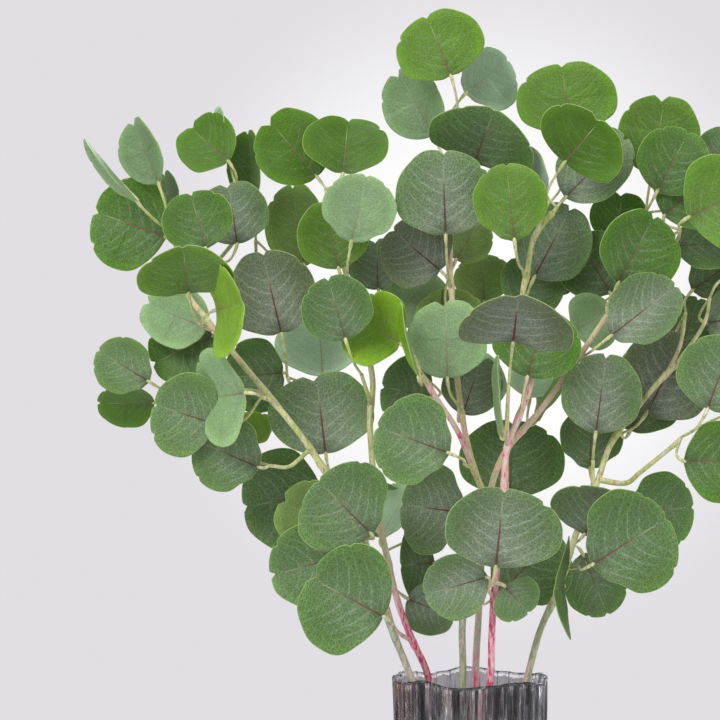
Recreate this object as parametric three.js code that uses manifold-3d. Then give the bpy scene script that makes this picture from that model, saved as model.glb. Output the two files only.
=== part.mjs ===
// Eucalyptus stems standing in a pleated glass vase.
// Millimetres, +Z up. The origin is the middle of the vase's flat underside, and -Y is the front.
import * as THREE from 'three';
import { mergeVertices } from 'three/addons/utils/BufferGeometryUtils.js';
import Module from 'manifold-3d';

const wasm = await Module();
wasm.setup();

// Vase
const VASE_HEIGHT = 220;
const VASE_FOOT_RADIUS = 47;
const VASE_RIM_RADIUS = 53;
const VASE_WALL = 3.5;
const VASE_FLOOR = 12;
const PLEATS = 19;
const PLEAT_DEPTH = 1.5;
const POINTS_PER_PLEAT = 3;
const RIM_WAVE = 1.4;

// Stems, twigs and leaves
const STEM_RADIUS = 2.6;
const BRANCH_RADIUS = 2.1;
const TWIG_RADIUS = 1.6;
const PETIOLE_RADIUS = 1.25;
const BLADE_THICKNESS = 1;
const BASE_BITE = 3;
const GAP = 0.35;
const FOOT_LIFT = 0.4;
const RIM_LEVEL = 222;

// The foliage is laid out on the upright plane through the vase's axis, as it lines up from the
// place where one stands to look at it. Each point is [across, up, depth]: it moves along that
// line of sight to its depth behind (+) or before (-) the plane, and its leaf grows to suit.
const EYE = new THREE.Vector3(-77, -1900, 442);
const DEPTH_SPREAD = 1.5;

// A main stem is [foot x, foot y, rim x, rim y], both in place, then its run above the rim.
const STEMS = {
  left: {
    inside: [24, -14, -42, -14],
    run: [[-58, 262, -13], [-69, 300, -12], [-82, 335, -12], [-99, 361, -12], [-118, 389, -12],
      [-140, 416, -11], [-158, 438, -9], [-184, 470, -5], [-198, 489, -2], [-204, 521, 2]],
  },
  inner_left: {
    inside: [16, 14, -30, 14],
    run: [[-40, 245, 9], [-50, 272, 8], [-59, 308, 4], [-66, 345, 0], [-69, 380, -2],
      [-70, 402, -4], [-68, 428, -2], [-76, 465, 0], [-85, 495, 4], [-94, 535, 8], [-100, 558, 8]],
  },
  middle: {
    inside: [-6, 3, -5, 3],
    run: [[-5, 260, 2], [2, 300, 2], [11, 340, -2], [2, 368, -6], [-5, 400, -8], [-10, 440, -4],
      [-12, 481, 0], [-14, 512, 2], [-13, 560, 8], [-13, 590, 8]],
  },
  upper_right: {
    inside: [8, 24, 5, 25],
    run: [[6, 262, 15], [8, 300, 12], [13, 345, 6], [24, 376, -1], [50, 408, -4], [74, 441, -5],
      [95, 471, -4], [112, 493, -2], [118, 516, 0], [122, 540, 0]],
  },
  front: {
    inside: [-10, -26, 13, -27],
    run: [[16, 260, -20], [19, 297, -21], [23, 340, -17], [26, 380, -14], [35, 404, -13],
      [43, 428, -10], [42, 460, -8], [37, 488, -6], [40, 502, -6], [45, 528, -6], [58, 545, -6]],
  },
  right: {
    inside: [-24, -6, 40, -6],
    run: [[50, 255, -4], [62, 281, -6], [71, 310, -6], [80, 335, -5], [89, 356, -4],
      [99, 384, -2], [112, 402, 0], [130, 424, 0], [144, 439, 0]],
  },
};

// A side branch leaves its stem and carries shoots of its own.
const BRANCHES = {
  inner_side: {
    from: 'middle',
    run: [[1, 370, -6], [-9, 393, -16], [-26, 419, -18], [-36, 437, -14], [-47, 463, -4],
      [-62, 488, 4]],
  },
  outer_side: {
    from: 'right',
    run: [[90, 358, -4], [110, 356, -4], [119, 363, -6], [146, 385, -8]],
  },
};

// A shoot is a twig from its stem, and leaves. Each leaf is
// [across, up, depth of its base, heading, length, width, lean, roll, fold]: the heading is turned
// from +X towards +Z, lean tips it back, roll turns it on its midrib, fold lifts both its sides.
const SHOOTS = {
  left: [
    { twig: [[-204, 521, 2], [-211, 533, 1]],
      leaves: [[-218, 566, 0, 112, 48, 54, 0, 56, 8], [-233, 553, -18, 130, 58, 50, 0, 82, 6]] },
    { twig: [[-203, 515, 1], [-205, 522, 7]],
      leaves: [[-213, 528, 16, 160, 54, 66, 5, 0, 8], [-208, 531, 32, 98, 44, 44, 10, 55, 6]] },
    { twig: [[-201, 507, 0], [-193, 512, 4]],
      leaves: [[-185, 520, -10, 106, 42, 50, 10, 0, 12], [-163, 523, 16, 98, 44, 50, 4, 0, 8]] },
    { twig: [[-199, 493, -1], [-188, 500, 18], [-160, 535, 28], [-163, 560, 26]],
      leaves: [[-169, 581, 22, 138, 46, 44, 30, 0, 10], [-173, 603, 30, 100, 17, 12, 0, 50, 10]] },
    { twig: [[-184, 470, -5], [-190, 467, -6]],
      leaves: [[-197, 489, -22, 93, 48, 68, -48, 0, 10], [-178, 477, -18, 8, 50, 68, -62, 0, 14],
        [-184, 464, 7, 158, 48, 44, 0, 0, 8], [-180, 459, 13, 205, 47, 52, 0, 0, 8]] },
    { twig: [[-103, 366, -12], [-107, 371, 8], [-118, 405, 20], [-128, 430, 18]],
      leaves: [[-132, 460, 8, 103, 60, 62, -6, 0, 8], [-130, 433, 20, 185, 42, 52, 0, 0, 8],
        [-103, 431, 26, 95, 48, 64, 30, 0, 8]] },
    { twig: [[-172, 455, -7], [-161, 466, 34], [-150, 490, 40], [-150, 526, 38]],
      leaves: [[-151, 553, 38, 95, 50, 50, 0, 60, 8], [-116, 508, 50, 98, 58, 46, 0, 25, 8]] },
    { twig: [[-143, 419, -11], [-165, 421, 16], [-200, 420, 16], [-212, 419, 12]],
      leaves: [[-225, 427, 6, 148, 42, 40, 0, 0, 8], [-221, 412, 16, 180, 40, 40, 0, 42, 8]] },
    { twig: [[-137, 413, -12], [-146, 416, -18]],
      leaves: [[-157, 419, -26, 189, 48, 70, 46, 0, 10], [-178, 397, -8, 162, 46, 60, 0, 0, 8]] },
    { twig: [[-112, 380, -12], [-119, 373, -10], [-128, 367, -4], [-140, 368, -2]],
      leaves: [[-148, 367, -4, 157, 48, 54, 0, 0, 8], [-152, 384, 12, 72, 22, 34, 0, 40, 8]] },
    { twig: [[-97, 358, -12], [-98, 364, -5]],
      leaves: [[-101, 376, 0, 97, 58, 74, 14, 0, 8], [-104, 350, 22, 192, 56, 72, 0, 0, 8]] },
    { twig: [[-74, 315, -12], [-71, 317, -18]],
      leaves: [[-69, 320, -24, 135, 54, 72, 8, 0, 8]] },
    { twig: [[-52, 246, -14], [-57, 256, -22]],
      leaves: [[-60, 262, -36, 152, 60, 80, 4, 0, 8]] },
  ],
  inner_left: [
    { twig: [[-100, 558, 8], [-101, 562, 8]],
      leaves: [[-107, 570, 10, 130, 54, 54, 6, 0, 8], [-89, 572, -2, 85, 46, 60, 28, 0, 8]] },
    { twig: [[-82, 486, 3], [-85, 494, -4]],
      leaves: [[-92, 506, -6, 100, 48, 50, 0, 0, 8], [-83, 525, -22, 77, 48, 52, -6, 0, 8]] },
    { twig: [[-69, 410, -4], [-76, 432, -16]],
      leaves: [[-87, 456, -33, 106, 46, 50, 0, 0, 8]] },
    { twig: [[-57, 300, 5], [-59, 308, 14]],
      leaves: [[-62, 318, 18, 62, 42, 40, 0, 55, 8], [-44, 330, 32, 150, 40, 44, 0, 30, 8],
        [-44, 275, 12, -22, 36, 38, 0, 0, 8]] },
    { twig: [[-40, 245, 9], [-52, 253, 3], [-58, 270, 0], [-68, 296, -2]],
      leaves: [[-80, 307, -6, 195, 62, 60, 0, 0, 8], [-88, 322, 8, 155, 50, 52, 0, 0, 8]] },
  ],
  inner_side: [
    { twig: [[-28, 422, -17], [-34, 432, -22]],
      leaves: [[-48, 453, -24, 150, 42, 54, 12, 0, 24], [-36, 430, -38, 104, 54, 36, 0, 84, 6],
        [-27, 416, -4, 168, 36, 52, 0, 0, 8]] },
    { twig: [[-52, 472, 0], [-56, 474, 10]],
      leaves: [[-54, 470, 20, 48, 44, 48, 0, 0, 8], [-64, 491, 12, 92, 36, 44, 0, 30, 8]] },
  ],
  middle: [
    { twig: [[3, 366, -6], [-4, 369, -20]],
      leaves: [[-15, 377, -38, 160, 54, 64, 0, 0, 8]] },
    { twig: [[-6, 404, -8], [-8, 410, -12]],
      leaves: [[-16, 429, -19, 91, 55, 56, 0, 0, 6], [-5, 404, 6, 72, 44, 42, 0, 0, 8]] },
    { twig: [[-13, 492, 1], [-15, 498, -4]],
      leaves: [[-17, 529, -20, 92, 60, 68, 0, 0, 8], [-20, 504, -2, 140, 46, 54, 0, 0, 8]] },
    { twig: [[-11, 452, -3], [-11, 458, 8]],
      leaves: [[-14, 456, 14, 90, 36, 48, 0, 0, 8], [-10, 512, 14, 58, 34, 34, 0, 0, 8]] },
    { twig: [[-13, 566, 8], [-13, 574, 12]],
      leaves: [[-26, 599, 16, 118, 52, 48, 0, 32, 8], [3, 580, 2, 70, 50, 76, -42, 0, 10]] },
    { twig: [[-13, 590, 8], [-13, 596, 8]],
      leaves: [[-13, 640, -4, 112, 47, 62, 0, 0, 8], [-3, 629, 14, 38, 38, 52, 0, -30, 8]] },
    { twig: [[5, 316, 1], [0, 322, 6]],
      leaves: [[-5, 335, 4, 172, 44, 64, 0, 0, 12], [-25, 300, 20, 185, 24, 56, 0, 0, 8]] },
  ],
  upper_right: [
    { twig: [[76, 444, -5], [79, 444, 2]],
      leaves: [[99, 459, -18, 38, 58, 48, 0, 14, 8], [73, 462, 5, 30, 30, 42, 0, 0, 8]] },
    { twig: [[96, 473, -4], [96, 480, -6]],
      leaves: [[104, 496, -14, 62, 54, 60, 0, -16, 14], [98, 489, 12, 120, 46, 52, 0, 0, 8]] },
    { twig: [[115, 504, -1], [134, 514, 4], [145, 526, -4], [147, 533, -14]],
      leaves: [[153, 542, -26, 25, 52, 68, 0, 0, 8], [136, 543, -10, 42, 44, 50, 0, 0, 8],
        [144, 522, 6, 2, 50, 42, 0, 20, 8]] },
    { twig: [[122, 540, 0], [123, 545, 0]],
      leaves: [[131, 560, -14, 62, 48, 52, 0, 0, 8], [127, 572, 8, 80, 56, 58, 0, 0, 8],
        [168, 572, 16, 68, 34, 34, 0, 0, 8]] },
    { twig: [[108, 488, -3], [115, 501, 14]],
      leaves: [[101, 524, 22, 80, 36, 42, 0, 0, 8], [72, 490, 34, 120, 36, 42, 0, 0, 8]] },
    { twig: [[38, 392, -3], [40, 396, 6]],
      leaves: [[47, 400, 12, 56, 60, 44, 0, 74, 6], [42, 416, 20, 80, 30, 36, 0, 0, 8]] },
  ],
  front: [
    { twig: [[17, 275, -21], [12, 282, -26]],
      leaves: [[18, 297, -38, 84, 56, 84, 0, -10, 12], [12, 290, -28, 196, 46, 46, 0, 0, 8],
        [24, 284, -26, -48, 26, 36, 0, 0, 8], [21, 279, 5, 45, 58, 62, 0, 0, 8]] },
    { twig: [[24, 352, -16], [26, 356, 0]],
      leaves: [[28, 346, 20, 88, 54, 74, 0, 0, 8], [19, 412, 16, 108, 36, 36, 0, 45, 8]] },
    { twig: [[26, 382, -14], [26, 396, -26], [27, 425, -36]],
      leaves: [[30, 454, -46, 86, 50, 80, -46, 0, 14], [22, 388, -26, 92, 58, 40, 0, 86, 4]] },
    { twig: [[34, 402, -13], [36, 408, -16]],
      leaves: [[40, 430, -16, 74, 50, 62, 0, 0, 8]] },
    { twig: [[41, 466, -8], [38, 474, 8]],
      leaves: [[34, 478, 18, 62, 40, 46, 0, 0, 8], [10, 482, 28, 92, 34, 42, 0, 0, 8],
        [45, 500, 5, 62, 56, 54, 0, 0, 8]] },
    { twig: [[39, 499, -6], [37, 505, -10]],
      leaves: [[31, 526, -32, 96, 54, 52, 0, 0, 10]] },
    { twig: [[47, 531, -6], [51, 546, -10]],
      leaves: [[66, 580, -22, 50, 42, 66, -20, 0, 8], [69, 600, 18, 95, 50, 70, 0, 0, 8]] },
    { twig: [[58, 545, -6], [61, 549, -6]],
      leaves: [[67, 556, -2, 45, 60, 50, 0, 20, 8], [52, 560, -6, 112, 33, 34, 0, 60, 6]] },
  ],
  right: [
    { twig: [[57, 269, -5], [60, 276, -10]],
      leaves: [[66, 284, -12, 180, 34, 72, -74, 0, 6]] },
    { twig: [[67, 296, -6], [76, 297, -20]],
      leaves: [[86, 299, -34, 32, 62, 76, 0, 0, 8]] },
    { twig: [[70, 306, -6], [72, 313, 2]],
      leaves: [[80, 320, -8, 60, 48, 68, -40, 0, 8], [79, 306, 5, -68, 46, 44, 0, 0, 8]] },
    { twig: [[83, 342, -5], [98, 342, 8]],
      leaves: [[111, 335, 20, 5, 46, 54, 0, 0, 8], [84, 366, 20, 88, 44, 44, 0, 0, 8]] },
    { twig: [[86, 349, -4], [86, 372, -6]],
      leaves: [[88, 391, -10, 82, 56, 56, 0, 0, 8]] },
    { twig: [[101, 388, -2], [105, 390, 8]],
      leaves: [[112, 392, 18, 70, 62, 56, 0, 0, 8], [123, 404, 6, 62, 62, 66, 0, 0, 8]] },
    { twig: [[144, 439, 0], [157, 456, 2], [165, 470, 4], [168, 486, 4]],
      leaves: [[165, 468, 12, 8, 46, 46, 0, 0, 8], [183, 503, -8, 28, 46, 50, 0, 0, 8]] },
    { twig: [[137, 431, 0], [147, 452, -3], [151, 475, 6]],
      leaves: [[156, 491, 14, 36, 50, 46, 0, 0, 8], [148, 452, 22, 70, 36, 38, 0, 0, 8],
        [132, 452, 34, 80, 40, 42, 0, 0, 8]] },
  ],
  outer_side: [
    { twig: [[146, 385, -8], [148, 388, -8]],
      leaves: [[166, 407, -22, 70, 54, 62, 0, 0, 8], [192, 409, 0, 20, 50, 54, 0, 0, 8],
        [150, 371, -14, 0, 56, 58, 0, 0, 8]] },
  ],
};

const material = {
  glass: new THREE.MeshStandardMaterial({ color: 0x3a3b40, roughness: 0.08, metalness: 0 }),
  stem: new THREE.MeshStandardMaterial({ color: 0xb9b277, roughness: 0.55, metalness: 0 }),
  leaf: new THREE.MeshStandardMaterial({ color: 0x5c8443, roughness: 0.6, metalness: 0 }),
};
const group = new THREE.Group();

function addMesh(name, geometry, finish) {
  const mesh = new THREE.Mesh(geometry, finish.clone());
  mesh.name = name;
  group.add(mesh);
}

function closedMesh(positions, faces) {
  const geometry = new THREE.BufferGeometry();
  geometry.setAttribute('position', new THREE.Float32BufferAttribute(positions, 3));
  geometry.setIndex(faces);
  return geometry;
}

function toSolid(geometry) {
  geometry.deleteAttribute('normal');
  geometry.deleteAttribute('uv');
  const merged = mergeVertices(geometry);
  return new wasm.Manifold(new wasm.Mesh({
    numProp: 3,
    vertProperties: new Float32Array(merged.attributes.position.array),
    triVerts: new Uint32Array(merged.index.array),
  }));
}

function toGeometry(solid) {
  const { vertProperties, triVerts } = solid.getMesh();
  return closedMesh(Array.from(vertProperties), Array.from(triVerts));
}

// Moves a laid-out point along the line of sight to its depth.
function growth(depth) {
  return 1 - (depth * DEPTH_SPREAD) / EYE.y;
}

function spot([across, up, depth]) {
  return new THREE.Vector3(across, 0, up).sub(EYE).multiplyScalar(growth(depth)).add(EYE);
}

// ---- Vase: a pleated tumbler with a flat base, a thick floor and a softly waving rim ----

function pleatedRing(radius, height, wave) {
  const count = PLEATS * POINTS_PER_PLEAT;
  return Array.from({ length: count }, (_, i) => {
    const turn = (i / count) * 2 * Math.PI;
    const pleat = Math.cos(turn * PLEATS) + 0.5 * Math.sin(turn * 3);
    const reach = radius + PLEAT_DEPTH * pleat;
    const level = height + wave * (Math.sin(turn * 5) + 0.6 * Math.cos(turn * PLEATS));
    return new THREE.Vector3(reach * Math.cos(turn), reach * Math.sin(turn), level);
  });
}

function buildVase() {
  const waist = (VASE_FOOT_RADIUS + VASE_RIM_RADIUS) / 2;
  const rings = [
    pleatedRing(VASE_FOOT_RADIUS, 0, 0),
    pleatedRing(waist + 1, VASE_HEIGHT * 0.45, 0),
    pleatedRing(VASE_RIM_RADIUS, VASE_HEIGHT, RIM_WAVE),
    pleatedRing(VASE_RIM_RADIUS - VASE_WALL, VASE_HEIGHT, RIM_WAVE),
    pleatedRing(waist + 1 - VASE_WALL, VASE_HEIGHT * 0.45, 0),
    pleatedRing(VASE_FOOT_RADIUS - VASE_WALL, VASE_FLOOR, 0),
  ];
  const count = rings[0].length;
  const faces = [];
  for (let ring = 0; ring < rings.length - 1; ring += 1) {
    for (let i = 0; i < count; i += 1) {
      const low = ring * count + i;
      const lowNext = ring * count + ((i + 1) % count);
      faces.push(low, lowNext, lowNext + count, low, lowNext + count, low + count);
    }
  }
  const flat = (ring) => ring.map((point) => new THREE.Vector2(point.x, point.y));
  const floorStart = (rings.length - 1) * count;
  for (const [a, b, c] of THREE.ShapeUtils.triangulateShape(flat(rings[0]), [])) {
    faces.push(a, c, b);
  }
  for (const [a, b, c] of THREE.ShapeUtils.triangulateShape(flat(rings.at(-1)), [])) {
    faces.push(floorStart + a, floorStart + b, floorStart + c);
  }
  return closedMesh(rings.flat().flatMap((point) => point.toArray()), faces);
}

// ---- Stems and twigs ----

function tube(points, radius, sides, steps) {
  const section = new THREE.Shape(Array.from({ length: sides }, (_, i) => {
    const turn = (i / sides) * 2 * Math.PI;
    return new THREE.Vector2(radius * Math.cos(turn), radius * Math.sin(turn));
  }));
  const extrudePath = new THREE.CatmullRomCurve3(points);
  return toSolid(new THREE.ExtrudeGeometry(section, { extrudePath, steps, curveSegments: 1 }));
}

function stemRoute({ inside: [footX, footY, rimX, rimY], run }) {
  const foot = new THREE.Vector3(footX, footY, VASE_FLOOR + STEM_RADIUS * 0.4 + FOOT_LIFT);
  const rim = new THREE.Vector3(rimX, rimY, RIM_LEVEL);
  const middle = foot.clone().lerp(rim, 0.5);
  return [foot, middle, rim, ...run.map(spot)];
}

// Carries the last point of a route a little further, so that what follows it keeps its gap.
function lengthened(route, extra) {
  const last = route.at(-1);
  const step = last.clone().sub(route.at(-2)).setLength(extra);
  return [...route.slice(0, -1), last.clone().add(step)];
}

// ---- Leaves ----

// Half the outline of a leaf, from its base to the notch at its tip: [along, aside].
const HALF_OUTLINE = [[0.09, 0.29], [0.36, 0.49], [0.68, 0.46], [0.92, 0.27], [1, 0.1]];
const NOTCH_ALONG = 0.94;

function leafAxes(heading, lean, roll) {
  const [h, p, r] = [heading, lean, roll].map(THREE.MathUtils.degToRad);
  const along = new THREE.Vector3(
    Math.cos(h) * Math.cos(p), Math.sin(p), Math.sin(h) * Math.cos(p));
  const level = new THREE.Vector3(
    Math.cos(h) * Math.sin(p), -Math.cos(p), Math.sin(h) * Math.sin(p));
  const side = new THREE.Vector3().crossVectors(along, level).applyAxisAngle(along, -r);
  return { along, side, face: new THREE.Vector3().crossVectors(side, along) };
}

function blade([across, up, depth, heading, length, width, lean, roll, fold]) {
  const base = spot([across, up, depth]);
  const { along, side, face } = leafAxes(heading, lean, roll);
  const grown = growth(depth);
  const lift = Math.tan(THREE.MathUtils.degToRad(fold));
  const place = (a, s, thick) => base.clone()
    .addScaledVector(along, a * length * grown)
    .addScaledVector(side, s * width * grown)
    .addScaledVector(face, Math.abs(s) * width * lift + thick);
  const mirrored = HALF_OUTLINE.map(([a, s]) => [a, -s]).reverse();
  const outline = [[0, 0], ...HALF_OUTLINE, [NOTCH_ALONG, 0], ...mirrored];
  const count = outline.length;
  const half = BLADE_THICKNESS / 2;
  const points = [half, -half].flatMap((thick) => [
    place(0.5, 0, thick), ...outline.map(([a, s]) => place(a, s, thick))]);
  const faces = [];
  const under = count + 1;
  for (let i = 0; i < count; i += 1) {
    const here = 1 + i;
    const next = 1 + ((i + 1) % count);
    faces.push(0, here, next, under, under + next, under + here);
    faces.push(here, under + next, next, here, under + here, under + next);
  }
  return toSolid(closedMesh(points.flatMap((point) => point.toArray()), faces));
}

function petiole(fork, [across, up, depth, heading, , , lean, roll]) {
  const base = spot([across, up, depth]);
  const { along } = leafAxes(heading, lean, roll);
  const reach = base.distanceTo(fork);
  const bend = base.clone().addScaledVector(along, -0.3 * reach);
  const end = base.clone().addScaledVector(along, BASE_BITE);
  return tube([fork, bend, base, end], PETIOLE_RADIUS, 4, 3);
}

function buildShoot({ twig, leaves }, carrier) {
  const route = twig.map(spot);
  let solid = tube(route, TWIG_RADIUS, 5, 2 * route.length - 3);
  for (const leaf of leaves) {
    solid = solid.add(petiole(route.at(-1), leaf)).add(blade(leaf));
  }
  return solid.subtract(carrier);
}

// ---- Assembly ----

addMesh('vase', buildVase(), material.glass);

const carriers = {};
for (const [name, stem] of Object.entries(STEMS)) {
  const route = stemRoute(stem);
  addMesh(`${name}_stem`, toGeometry(tube(route, STEM_RADIUS, 7, route.length + 5)), material.stem);
  carriers[name] = tube(lengthened(route, GAP), STEM_RADIUS + GAP, 7, route.length + 5);
}
for (const [name, { from, run }] of Object.entries(BRANCHES)) {
  const route = run.map(spot);
  const steps = route.length + 4;
  const branch = tube(route, BRANCH_RADIUS, 7, steps).subtract(carriers[from]);
  addMesh(`${name}_branch`, toGeometry(branch), material.stem);
  carriers[name] = tube(lengthened(route, GAP), BRANCH_RADIUS + GAP, 7, steps);
}
for (const [name, shoots] of Object.entries(SHOOTS)) {
  shoots.forEach((shoot, i) => {
    const solid = buildShoot(shoot, carriers[name]);
    addMesh(`${name}_shoot_${i + 1}`, toGeometry(solid), material.leaf);
  });
}

export default group;
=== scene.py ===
# Eucalyptus stems standing in a pleated smoked-glass vase.
# The plan below is in millimetres and every finished piece is in metres, +Z up. The origin is the
# middle of the vase's underside, and -Y is the front.
import math

import bpy
from mathutils import Matrix, Vector, noise


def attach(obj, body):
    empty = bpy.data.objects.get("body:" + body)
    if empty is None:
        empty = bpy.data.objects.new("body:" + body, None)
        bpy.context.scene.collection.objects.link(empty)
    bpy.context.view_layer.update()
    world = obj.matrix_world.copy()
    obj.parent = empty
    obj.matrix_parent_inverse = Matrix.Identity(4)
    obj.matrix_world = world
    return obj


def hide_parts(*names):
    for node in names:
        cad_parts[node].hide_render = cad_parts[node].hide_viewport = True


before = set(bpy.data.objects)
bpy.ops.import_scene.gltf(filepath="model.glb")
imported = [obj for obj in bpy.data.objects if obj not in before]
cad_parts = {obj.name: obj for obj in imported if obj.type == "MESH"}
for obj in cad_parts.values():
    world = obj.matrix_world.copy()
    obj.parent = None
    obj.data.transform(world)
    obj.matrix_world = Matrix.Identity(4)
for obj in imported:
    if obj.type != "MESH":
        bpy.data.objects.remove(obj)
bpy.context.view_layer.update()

MM = 0.001

# Vase
VASE_HEIGHT = 220
FOOT_RADIUS = 47
WAIST_RADIUS = 51
RIM_RADIUS = 53
VASE_WALL = 3.0
VASE_FLOOR = 12
PLEATS = 19
PLEAT_DEPTH = 1.5
RIB_DEPTH = 0.8
RIM_WAVE = 1.6

# Stems, twigs and leaves
STEM_RADIUS = 2.6
BRANCH_RADIUS = 2.1
TWIG_RADIUS = 1.5
PETIOLE_RADIUS = 0.95
SLEEVE_RADIUS = 1.35
BLADE_THICKNESS = 0.55
RIM_LEVEL = VASE_HEIGHT + 2

# The foliage is laid out on the upright plane through the vase's axis. Each point is
# (across, up, depth), and it slides along the line from EYE to its depth behind (+) or before (-)
# that plane, so the leaves overlap as they should from the front. DEPTH_SPREAD draws out the depths.
EYE = Vector((-77, -1900, 442))
DEPTH_SPREAD = 1.5

# A main stem is (foot x, foot y, rim x, rim y), then its run above the rim.
STEMS = {
    "left": ((24, -14, -42, -14), [
        (-58, 262, -13), (-69, 300, -12), (-82, 335, -12), (-99, 361, -12), (-118, 389, -12),
        (-140, 416, -11), (-158, 438, -9), (-184, 470, -5), (-198, 489, -2), (-204, 521, 2)]),
    "inner_left": ((16, 14, -30, 14), [
        (-40, 245, 9), (-50, 272, 8), (-59, 308, 4), (-66, 345, 0), (-69, 380, -2),
        (-70, 402, -4), (-68, 428, -2), (-76, 465, 0), (-85, 495, 4), (-94, 535, 8),
        (-100, 558, 8)]),
    "middle": ((-6, 3, -5, 3), [
        (-5, 260, 2), (2, 300, 2), (11, 340, -2), (2, 368, -6), (-5, 400, -8), (-10, 440, -4),
        (-12, 481, 0), (-14, 512, 2), (-13, 560, 8), (-13, 590, 8)]),
    "upper_right": ((8, 24, 5, 25), [
        (6, 262, 15), (8, 300, 12), (13, 345, 6), (24, 376, -1), (50, 408, -4), (74, 441, -5),
        (95, 471, -4), (112, 493, -2), (118, 516, 0), (122, 540, 0)]),
    "front": ((-10, -26, 13, -27), [
        (16, 260, -20), (19, 297, -21), (23, 340, -17), (26, 380, -14), (35, 404, -13),
        (43, 428, -10), (42, 460, -8), (37, 488, -6), (40, 502, -6), (45, 528, -6),
        (58, 545, -6)]),
    "right": ((-24, -6, 40, -6), [
        (50, 255, -4), (62, 281, -6), (71, 310, -6), (80, 335, -5), (89, 356, -4),
        (99, 384, -2), (112, 402, 0), (130, 424, 0), (144, 439, 0)]),
}

# A side branch is its run, from inside the stem that it leaves.
BRANCHES = {
    "inner_side": [
        (1, 370, -6), (-9, 393, -16), (-26, 419, -18), (-36, 437, -14), (-47, 463, -4),
        (-62, 488, 4)],
    "outer_side": [
        (90, 358, -4), (110, 356, -4), (119, 363, -6), (146, 385, -8)],
}

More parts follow.
